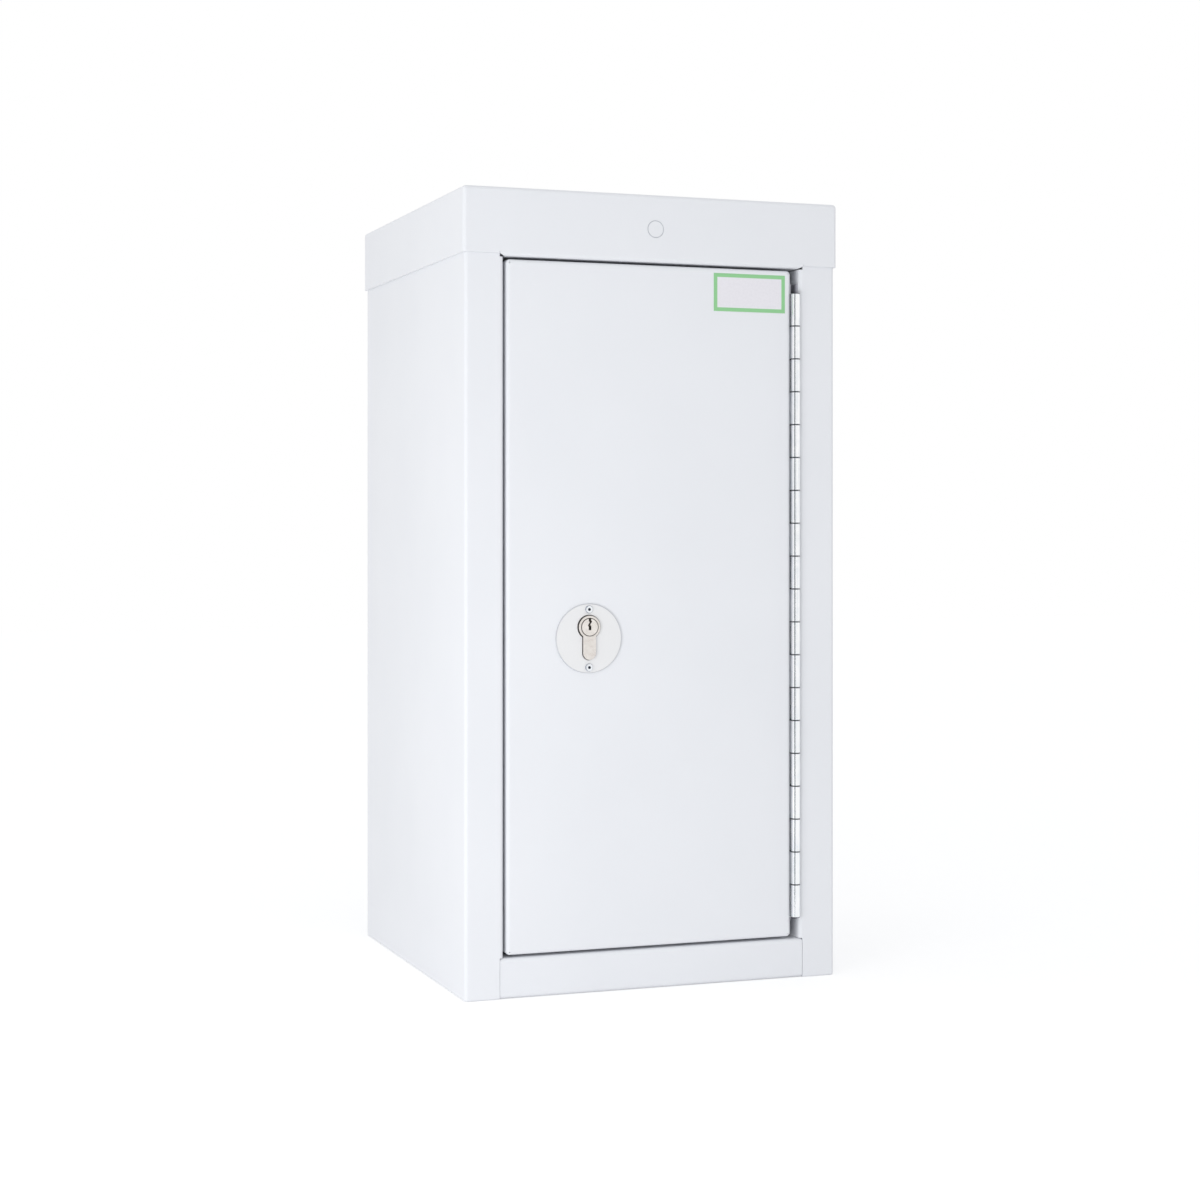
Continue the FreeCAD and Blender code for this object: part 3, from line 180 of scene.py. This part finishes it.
# Coated sheet
COAT_LIGHT = (0.852, 0.866, 0.902)
COAT_DARK = (0.830, 0.845, 0.882)
COAT_ROUGHNESS = (0.36, 0.46)
CLOUD_GRAIN = 140 * MM
SPECK_GRAIN = 0.4 * MM
SPECK_SHARE = 0.2
SMEAR_GRAIN = (44 * MM, 44 * MM, 100 * MM)
SHEET_WAVE = 60 * MM
SHEET_WAVE_DEPTH = 0.35 * MM
PEEL_GRAIN = 1.05 * MM
PEEL_DEPTH = 0.035 * MM


def powder_coat(name, light, dark):
    """Sprayed and baked coat: a fine orange peel over slightly wavy sheet, with soft cloudy variation."""
    coat = Material(name)
    clouds = coat.noise(CLOUD_GRAIN, HIGH_DETAIL)
    specks = coat.noise(SPECK_GRAIN, LOW_DETAIL)
    shade = coat.spread(coat.blend(clouds, specks, SPECK_SHARE), MIDDLE_SPAN)
    roughness = coat.spread(coat.noise(SMEAR_GRAIN, FULL_DETAIL), WIDE_SPAN, COAT_ROUGHNESS)
    waves = coat.bump(coat.noise(SHEET_WAVE, LOW_DETAIL), SHEET_WAVE_DEPTH)
    peel = coat.bump(coat.noise(PEEL_GRAIN), PEEL_DEPTH, waves)
    coat.finish(coat.mix(shade, dark, light), roughness, peel)
    return coat


# Lock plate
PLATE_LIGHT = (0.840, 0.842, 0.852)
PLATE_DARK = (0.817, 0.820, 0.832)
# Painted shade: a darker line of this width along the plate's rim
PLATE_RIM = 0.9 * MM
PLATE_RIM_PAINTED_SHADE = (0.56, 0.57, 0.60)
# Painted shade: a dark ring on the plate round the cylinder's head, and its colour, also painted in the
# joint round the plug
HEAD_PAINTED_SHADE_SPAN = (1.0 * MM, 0.5 * MM)
LOCK_PAINTED_SHADE = (0.10, 0.09, 0.085)


def plate_coat(name):
    """Coat of the lock plate, with painted shade along the rim and round the cylinder's head."""
    middle, plate_half = middle_and_half(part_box("lock_escutcheon"))
    head_half = middle_and_half(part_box("cylinder_body"))[1]
    coat = powder_coat(name, PLATE_LIGHT, PLATE_DARK)
    from_middle = coat.distance(*coat.offset(middle, "XZ"))
    rim = coat.spread(from_middle, (plate_half.x - PLATE_RIM, plate_half.x), smooth=True)
    from_head = coat.math("SUBTRACT", coat.distance(*coat.offset(LOCK_AXIS, "XZ")), head_half.x)
    painted_head_shade = coat.spread(from_head, HEAD_PAINTED_SHADE_SPAN, smooth=True)
    # Painted shade along the plate's rim
    coat.paint(rim, PLATE_RIM_PAINTED_SHADE)
    # Painted shade round the cylinder's head
    coat.paint(painted_head_shade, LOCK_PAINTED_SHADE)
    return coat


# Moulded plug
PLASTIC_LIGHT = (0.845, 0.858, 0.892)
PLASTIC_DARK = (0.825, 0.840, 0.876)
PLASTIC_ROUGHNESS = (0.34, 0.42)
RIPPLE_GRAIN = 2.4 * MM
RIPPLE_DEPTH = 0.02 * MM
PLUG_FACE_DEPTH = 0.8 * MM
# Painted shade: a dark line of this width round the plug's face
PLUG_RIM = 0.8 * MM
PLUG_RIM_PAINTED_SHADE = (0.48, 0.51, 0.56)


def moulded_plastic(name):
    """Smooth plastic plug, with a line of painted shade round its face where it meets the sheet."""
    middle, half = middle_and_half(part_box("blanking_plug"))
    face_end = middle.y - half.y + PLUG_FACE_DEPTH
    points = [vertex.co for vertex in cad_objects["blanking_plug"].data.vertices]
    face_radius = max(math.hypot(point.x - middle.x, point.z - middle.z)
                      for point in points if point.y < face_end)
    plastic = Material(name)
    ripples = plastic.noise(RIPPLE_GRAIN)
    colour = plastic.mix(plastic.spread(ripples, WIDE_SPAN), PLASTIC_DARK, PLASTIC_LIGHT)
    roughness = plastic.spread(ripples, WIDE_SPAN, PLASTIC_ROUGHNESS)
    plastic.finish(colour, roughness, plastic.bump(ripples, RIPPLE_DEPTH))
    from_middle = plastic.distance(*plastic.offset(middle, "XZ"))
    rim = plastic.spread(from_middle, (face_radius - PLUG_RIM, face_radius), smooth=True)
    # Painted shade round the plug's face
    plastic.paint(rim, PLUG_RIM_PAINTED_SHADE)
    return plastic


# Zinc plate, whose streaks have a size along the radius, an angle in radians and a length
ZINC_LIGHT = (0.96, 0.965, 0.97)
ZINC_DARK = (0.79, 0.825, 0.855)
ZINC_ROUGHNESS = (0.13, 0.22)
STREAK_GRAIN = (1.0 * MM, 0.35, 60 * MM)
STREAK_SPAN = (0.36, 0.56)
STREAK_DEPTH = 0.004 * MM
BLOOM_GRAIN = 7 * MM
BLOOM_SHARE = 0.35


def zinc(name):
    """Bright zinc with faint streaks along the strip and a soft bloom."""
    plate = Material(name, metal=True)
    rolled = plate.around(*plate.offset(HINGE_AXIS, "XYZ"))
    streaks = plate.noise(STREAK_GRAIN, FULL_DETAIL, STREAK_HARSHNESS, rolled)
    bloom = plate.noise(BLOOM_GRAIN, FULL_DETAIL)
    shade = plate.spread(plate.blend(streaks, bloom, BLOOM_SHARE), STREAK_SPAN)
    roughness = plate.spread(bloom, MIDDLE_SPAN, ZINC_ROUGHNESS)
    plate.finish(plate.mix(shade, ZINC_DARK, ZINC_LIGHT), roughness, plate.bump(streaks, STREAK_DEPTH))
    return plate


# Hinge
KNUCKLES = 19
KNUCKLE_MARGIN = 0.3 * MM
# Painted shade in the creases between the knuckles: where it fades, and its colour
CREASE_SPAN = (0.7 * MM, 0.3 * MM)
HINGE_CREASE_PAINTED_SHADE = (0.10, 0.11, 0.13)
# Dark grey, not metallic, on the leaves past the last knuckles
PAST_END_GREY = (0.32, 0.32, 0.36)


def hinge_zinc(name):
    """Zinc of the hinge: painted shade in the creases between the knuckles, and dark grey, not metallic,
    past the last ones.
    """
    middle, pin_half = middle_and_half(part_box("hinge_pin"))
    knuckle_half = middle_and_half(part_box("hinge_frame_leaf"))[1]
    plate = zinc(name)
    x, y, z = plate.offset(middle, "XYZ")
    on_knuckle = plate.math("LESS_THAN", plate.distance(x, y), knuckle_half.x + KNUCKLE_MARGIN)
    from_crease = plate.math("PINGPONG", plate.math("ADD", z, pin_half.z), pin_half.z / KNUCKLES)
    crease = plate.spread(from_crease, CREASE_SPAN, smooth=True)
    past_end = plate.math("GREATER_THAN", plate.math("ABSOLUTE", z), pin_half.z)
    # Painted shade in the creases between the knuckles
    plate.paint(plate.math("MULTIPLY", crease, on_knuckle), HINGE_CREASE_PAINTED_SHADE)
    # Dark grey, not metallic, past the last knuckles
    plate.paint(past_end, PAST_END_GREY)
    plate.feed(plate.shader.inputs["Metallic"], plate.math("SUBTRACT", FULL, past_end))
    return plate


# Nickel-plated lock cylinder, whose rings have a width, an angle in radians and a length along the axis
NICKEL_LIGHT = (0.88, 0.84, 0.80)
NICKEL_DARK = (0.70, 0.655, 0.615)
SATIN_ROUGHNESS = (0.24, 0.36)
POLISHED_ROUGHNESS = (0.12, 0.22)
RING_GRAIN = (0.11 * MM, 1.6, 0.11 * MM)
RING_DEPTH = 0.003 * MM
SHEEN_GRAIN = 4.5 * MM
SHEEN_SHARE = 0.6
# Painted shade in the joint round the plug: distances where it is gone and where it is full
JOINT_SPAN = (0.38 * MM, 0.12 * MM)


def turned_nickel(name, roughness_span):
    """Metal turned about the lock's axis: fine rings, and painted shade in the joint round the plug."""
    plug_half = middle_and_half(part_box("cylinder_plug"))[1]
    metal = Material(name, metal=True)
    x, y, z = metal.offset(LOCK_AXIS, "XYZ")
    rings = metal.noise(RING_GRAIN, HIGH_DETAIL, place=metal.around(x, z, y))
    sheen = metal.noise(SHEEN_GRAIN, HIGH_DETAIL)
    shade = metal.spread(metal.blend(rings, sheen, SHEEN_SHARE), MIDDLE_SPAN)
    roughness = metal.spread(sheen, WIDE_SPAN, roughness_span)
    metal.finish(metal.mix(shade, NICKEL_DARK, NICKEL_LIGHT), roughness, metal.bump(rings, RING_DEPTH))
    from_joint = metal.math("ABSOLUTE", metal.math("SUBTRACT", metal.distance(x, z), plug_half.x))
    # Painted shade in the joint round the plug
    metal.paint(metal.spread(from_joint, JOINT_SPAN, smooth=True), LOCK_PAINTED_SHADE)
    return metal


# Drawn steel of the bolt work
STEEL_LIGHT = (0.55, 0.56, 0.57)
STEEL_DARK = (0.38, 0.39, 0.40)
STEEL_ROUGHNESS = (0.26, 0.44)
DRAWN_GRAIN = (17 * MM, 0.55 * MM, 0.55 * MM)
DRAWN_DEPTH = 0.02 * MM
HAZE_GRAIN = 17 * MM
HAZE_SHARE = 0.4


def drawn_steel(name):
    """Plain steel with drawing lines along the bolts."""
    steel = Material(name, metal=True)
    lines = steel.noise(DRAWN_GRAIN, FULL_DETAIL, STREAK_HARSHNESS)
    haze = steel.noise(HAZE_GRAIN, FULL_DETAIL)
    shade = steel.spread(steel.blend(lines, haze, HAZE_SHARE), MIDDLE_SPAN)
    roughness = steel.spread(haze, WIDE_SPAN, STEEL_ROUGHNESS)
    steel.finish(steel.mix(shade, STEEL_DARK, STEEL_LIGHT), roughness, steel.bump(lines, DRAWN_DEPTH))
    return steel


# Blind rivets
ALUMINIUM_LIGHT = (0.95, 0.97, 0.985)
ALUMINIUM_DARK = (0.84, 0.87, 0.91)
RIVET_ROUGHNESS = (0.2, 0.36)
SCUFF_GRAIN = 1.1 * MM
SCUFF_DEPTH = 0.01 * MM
# Painted shade on the rims of the rivet heads
RIVET_RIM = 0.45 * MM
RIVET_RIM_PAINTED_SHADE = (0.30, 0.34, 0.42)
# Painted shade, almost black, in the middle of each head where the mandrel sits in its hole
MANDREL_RADIUS = 1.05 * MM
MANDREL_BLUR = 0.15 * MM
MANDREL_HOLE_PAINTED_SHADE = (0.035, 0.04, 0.06)


def rivet_metal(name):
    """Bright rivet heads, with painted shade on their rims and an almost black painted shade in the middle
    where the mandrels sit.
    """
    middle, half = middle_and_half(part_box("escutcheon_rivets"))
    head_radius = half.x
    half_spacing = half.z - head_radius
    metal = Material(name, metal=True)
    scuffs = metal.noise(SCUFF_GRAIN, HIGH_DETAIL)
    colour = metal.mix(metal.spread(scuffs, MIDDLE_SPAN), ALUMINIUM_DARK, ALUMINIUM_LIGHT)
    roughness = metal.spread(scuffs, WIDE_SPAN, RIVET_ROUGHNESS)
    metal.finish(colour, roughness, metal.bump(scuffs, SCUFF_DEPTH))
    x, z = metal.offset(middle, "XZ")
    radius = metal.distance(x, metal.math("SUBTRACT", metal.math("ABSOLUTE", z), half_spacing))
    rim = metal.spread(radius, (head_radius - RIVET_RIM, head_radius), smooth=True)
    core = metal.spread(radius, (MANDREL_RADIUS + MANDREL_BLUR, MANDREL_RADIUS))
    # Painted shade on the rims of the rivet heads
    metal.paint(rim, RIVET_RIM_PAINTED_SHADE)
    # Painted shade in the middle of each rivet head
    metal.paint(core, MANDREL_HOLE_PAINTED_SHADE)
    return metal


# Printed label
FIELD_LIGHT = (0.857, 0.843, 0.890)
FIELD_DARK = (0.823, 0.809, 0.857)
FILM_ROUGHNESS = (0.28, 0.4)
FIBRE_GRAIN = 2 * MM
FIBRE_DEPTH = 0.01 * MM
BORDER_COLOUR = (0.288, 0.625, 0.299)
BORDER_WIDTH = 3.0 * MM
BORDER_BLUR = 0.2 * MM


def label_film(name):
    """Printed film: a pale field inside a plain coloured border."""
    middle, half = middle_and_half(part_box("label_plate"))
    film = Material(name)
    fibres = film.noise(FIBRE_GRAIN, FULL_DETAIL)
    field = film.mix(film.spread(fibres, WIDE_SPAN), FIELD_DARK, FIELD_LIGHT)
    film.finish(field, film.spread(fibres, WIDE_SPAN, FILM_ROUGHNESS), film.bump(fibres, FIBRE_DEPTH))
    x, z = film.offset(middle, "XZ")
    margins = [film.math("SUBTRACT", reach, film.math("ABSOLUTE", place))
               for reach, place in ((half.x, x), (half.z, z))]
    border = film.spread(film.math("MINIMUM", *margins), (BORDER_WIDTH, BORDER_WIDTH - BORDER_BLUR))
    film.paint(border, BORDER_COLOUR)
    return film


def dress(finish, names):
    """Give a finish to whole nodes of the frame."""
    for name in names:
        mesh = cad_objects[name].data
        mesh.materials.clear()
        mesh.materials.append(finish.material)


dress(powder_coat("white_coat", COAT_LIGHT, COAT_DARK),
      ["body_wrap", "floor_pan", "top_cap", "ceiling_panel", "shelf_lower", "shelf_upper", "shelf_ledges",
       "door_outer_skin", "door_inner_skin", "lock_cover"])
dress(plate_coat("plate_coat"), ["lock_escutcheon"])
dress(moulded_plastic("moulded_plastic"), ["blanking_plug"])
dress(hinge_zinc("hinge_zinc"), ["hinge_frame_leaf", "hinge_door_leaf", "hinge_pin"])
dress(zinc("zinc_plate"),
      ["cylinder_bracket", "guide_studs", "guide_clips", "cylinder_screw", "lock_cover_screws"])
dress(turned_nickel("satin_nickel", SATIN_ROUGHNESS), ["cylinder_body", "cylinder_cam"])
dress(turned_nickel("polished_nickel", POLISHED_ROUGHNESS), ["cylinder_plug"])
dress(drawn_steel("bolt_steel"), ["bolt_bar", "locking_bolts"])
dress(rivet_metal("rivet_aluminium"), ["escutcheon_rivets"])
dress(label_film("label_face"), ["label_plate"])


# Surroundings
AMBIENT_COLOUR = (0.985, 0.992, 1.0)
AMBIENT_STRENGTH = 0.80


def build_world():
    """Soft light from all round and a white background."""
    world = bpy.data.worlds.new("studio")
    studio = ShaderTree(world)
    soft = studio.add("ShaderNodeBackground", AMBIENT_COLOUR, AMBIENT_STRENGTH).outputs[0]
    white = studio.add("ShaderNodeBackground", WHITE).outputs[0]
    both = studio.add("ShaderNodeMixShader", studio.seen_rays(), soft, white).outputs[0]
    studio.feed(studio.tree.nodes["World Output"].inputs["Surface"], both)
    bpy.context.scene.world = world


def stage_sheet(name, corners, colour, glow):
    """A matt sheet of the studio, with a glow that only the camera and reflections see."""
    mesh = bpy.data.meshes.new(name)
    mesh.from_pydata(corners, [], [range(len(corners))])
    sheet = bpy.data.objects.new(name, mesh)
    bpy.context.scene.collection.objects.link(sheet)
    material = bpy.data.materials.new(name)
    paper = ShaderTree(material)
    paper.tree.nodes.remove(paper.tree.nodes["Principled BSDF"])
    matt = paper.add("ShaderNodeBsdfDiffuse", colour).outputs[0]
    strength = paper.math("MULTIPLY", paper.seen_rays(), glow)
    light = paper.add("ShaderNodeEmission", WHITE, strength).outputs[0]
    both = paper.add("ShaderNodeAddShader", matt, light).outputs[0]
    paper.feed(paper.tree.nodes["Material Output"].inputs["Surface"], both)
    mesh.materials.append(material)
    return sheet


# Floor
FLOOR_HALF = 6.0
FLOOR_COLOUR = (0.9, 0.9, 0.9)
FLOOR_GLOW = 0.29


def build_floor():
    """Pale floor that goes over into the white background and keeps the shadow."""
    corners = [(-FLOOR_HALF, -FLOOR_HALF, 0), (FLOOR_HALF, -FLOOR_HALF, 0),
               (FLOOR_HALF, FLOOR_HALF, 0), (-FLOOR_HALF, FLOOR_HALF, 0)]
    stage_sheet("floor", corners, FLOOR_COLOUR, FLOOR_GLOW)


# Card, and the direction in which it stands from the hinge
CARD_DIRECTION = Vector((-0.682, -0.731, 0.0))
CARD_DISTANCE = 0.36
CARD_WIDTH = 0.17
CARD_HEIGHT = 1.0
CARD_COLOUR = (0.18, 0.21, 0.24)


def build_card():
    """Dark upright card that only reflections show: the dark line down the bright knuckles."""
    foot = Vector((HINGE_AXIS.x, HINGE_AXIS.y, 0)) + CARD_DIRECTION * CARD_DISTANCE
    up = Vector((0, 0, CARD_HEIGHT))
    across = CARD_DIRECTION.cross(up).normalized() * CARD_WIDTH / 2
    corners = [foot - across, foot + across, foot + across + up, foot - across + up]
    card = stage_sheet("card", corners, CARD_COLOUR, glow=0)
    for rays in ("camera", "diffuse", "transmission", "volume_scatter", "shadow"):
        setattr(card, "visible_" + rays, False)


# Lamp
LAMP_PLACE = Vector((-0.85, -0.844, 0.12))
LAMP_AIM = Vector((0.0, -0.044, 0.12))
LAMP_WIDTH = 0.6
LAMP_HEIGHT = 0.22
LAMP_POWER = 3.8


def build_lamp():
    """A soft panel low at the left that faces the cabinet and that no reflection shows."""
    lamp = bpy.data.lights.new("softbox", "AREA")
    lamp.shape = "RECTANGLE"
    lamp.size = LAMP_WIDTH
    lamp.size_y = LAMP_HEIGHT
    lamp.energy = LAMP_POWER
    panel = bpy.data.objects.new("softbox", lamp)
    panel.visible_glossy = False
    panel.location = LAMP_PLACE
    panel.rotation_euler = (LAMP_AIM - LAMP_PLACE).to_track_quat("-Z", "Y").to_euler()
    bpy.context.scene.collection.objects.link(panel)


# Camera: angles in degrees, lens and sensor in millimetres, shift as a share of the picture
CAMERA_PLACE = (-0.623, -1.72775, 0.347)
CAMERA_TILT = 90.0
CAMERA_TURN = -20.07
CAMERA_LENS = 67.47
CAMERA_SENSOR = 36.0
CAMERA_SHIFT_SHARE = -0.0588


def build_camera():
    """A level camera, turned towards the right, with its frame shifted down."""
    data = bpy.data.cameras.new("camera")
    data.sensor_fit = "HORIZONTAL"
    data.sensor_width = CAMERA_SENSOR
    data.lens = CAMERA_LENS
    data.shift_y = CAMERA_SHIFT_SHARE
    camera = bpy.data.objects.new("camera", data)
    camera.location = CAMERA_PLACE
    camera.rotation_euler = (math.radians(CAMERA_TILT), 0, math.radians(CAMERA_TURN))
    bpy.context.scene.collection.objects.link(camera)
    bpy.context.scene.camera = camera


build_world()
build_floor()
build_card()
build_lamp()
build_camera()
bpy.context.scene.view_settings.view_transform = "Standard"
